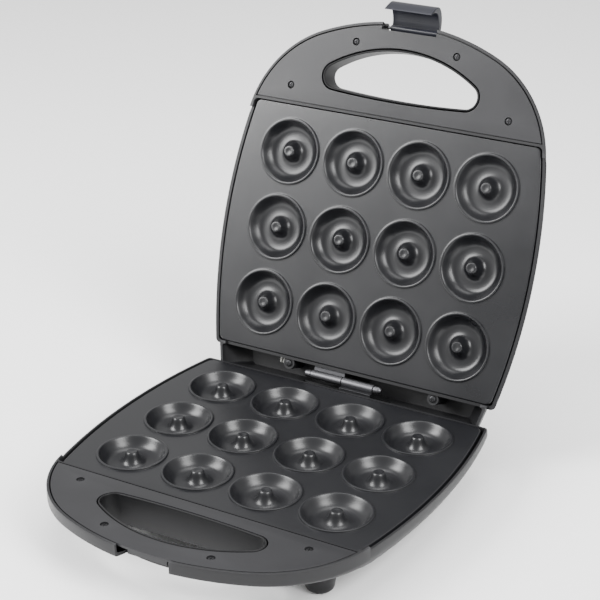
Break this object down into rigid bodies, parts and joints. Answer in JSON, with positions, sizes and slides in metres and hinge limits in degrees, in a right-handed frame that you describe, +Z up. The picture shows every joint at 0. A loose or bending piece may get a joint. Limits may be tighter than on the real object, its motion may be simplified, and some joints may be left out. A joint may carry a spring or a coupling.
{
  "type": "donut maker",
  "caption": "Hinged electric donut maker standing open, with ring-shaped cups in both plates, handle loops front and a swing latch.",
  "frame": {"origin": "bottom centre of the open maker's bounding box, on the table", "axes": "+X to the right along the hinge, +Y from the handles to the hinge, +Z up"},
  "size_m": [0.2764, 0.3978, 0.3262],
  "materials": {
    "housing": "satin moulded charcoal plastic",
    "cover": "satin charcoal plastic",
    "coating": "dark non-stick coating on cast metal",
    "latch": "smooth dark plastic",
    "hinge": "satin steel",
    "screw": "blackened steel",
    "sheath": "heat-dulled steel sheath",
    "tray": "bright thin sheet",
    "pad": "black rubber",
    "ceramic": "off-white ceramic",
    "sleeve": "woven glass sleeve",
    "red_lens": "clear red plastic",
    "green_lens": "clear green plastic",
    "lamp": "small indicator lamp"
  },
  "bodies": {
    "base": {"base_housing": "housing", "base_handle_cover": "cover", "base_cooking_plate": "coating", "base_heating_element": "sheath", "base_heat_reflector": "tray", "base_cover_screw_1": "screw", "base_cover_screw_2": "screw", "base_cover_screw_3": "screw", "base_cover_screw_4": "screw", "base_body_screw_1": "screw", "base_body_screw_2": "screw", "base_body_screw_3": "screw", "base_body_screw_4": "screw", "foot_pad_1": "pad", "foot_pad_2": "pad", "foot_pad_3": "pad", "foot_pad_4": "pad", "base_hinge_bracket": "hinge", "base_hinge_screw_1": "screw", "base_hinge_screw_2": "screw", "hinge_pin": "hinge", "base_thermostat": "ceramic", "thermal_fuse": "tray", "terminal_block": "ceramic", "cord_gland": "pad", "base_lead_1": "sleeve", "base_lead_2": "sleeve", "base_lead_3": "sleeve", "base_lead_4": "sleeve"},
    "lid": {"lid_housing": "housing", "lid_handle_cover": "cover", "lid_cooking_plate": "coating", "lid_heating_element": "sheath", "lid_heat_reflector": "tray", "lid_cover_screw_1": "screw", "lid_cover_screw_2": "screw", "lid_cover_screw_3": "screw", "lid_cover_screw_4": "screw", "lid_tail_screw_1": "screw", "lid_tail_screw_2": "screw", "power_light_lens": "red_lens", "ready_light_lens": "green_lens", "power_lamp": "lamp", "ready_lamp": "lamp", "lid_hinge_bracket": "hinge", "lid_hinge_screw_1": "screw", "lid_hinge_screw_2": "screw", "lid_thermostat": "ceramic", "lid_lead_1": "sleeve", "lid_lead_2": "sleeve", "lid_lead_3": "sleeve", "latch_pin": "hinge"},
    "latch_body": {"latch": "latch"}
  },
  "joints": [
    {"name": "lid_hinge", "type": "hinge", "parent": "base", "child": "lid", "pos_m": [0, 0.08526, 0.0443], "axis": [1, 0, 0], "range_deg": [0, 111]},
    {"name": "latch_swing", "type": "hinge", "parent": "lid", "child": "latch_body", "pos_m": [0, 0.19398, 0.30324], "axis": [1, 0, 0], "range_deg": [-40, 57]}
  ]
}
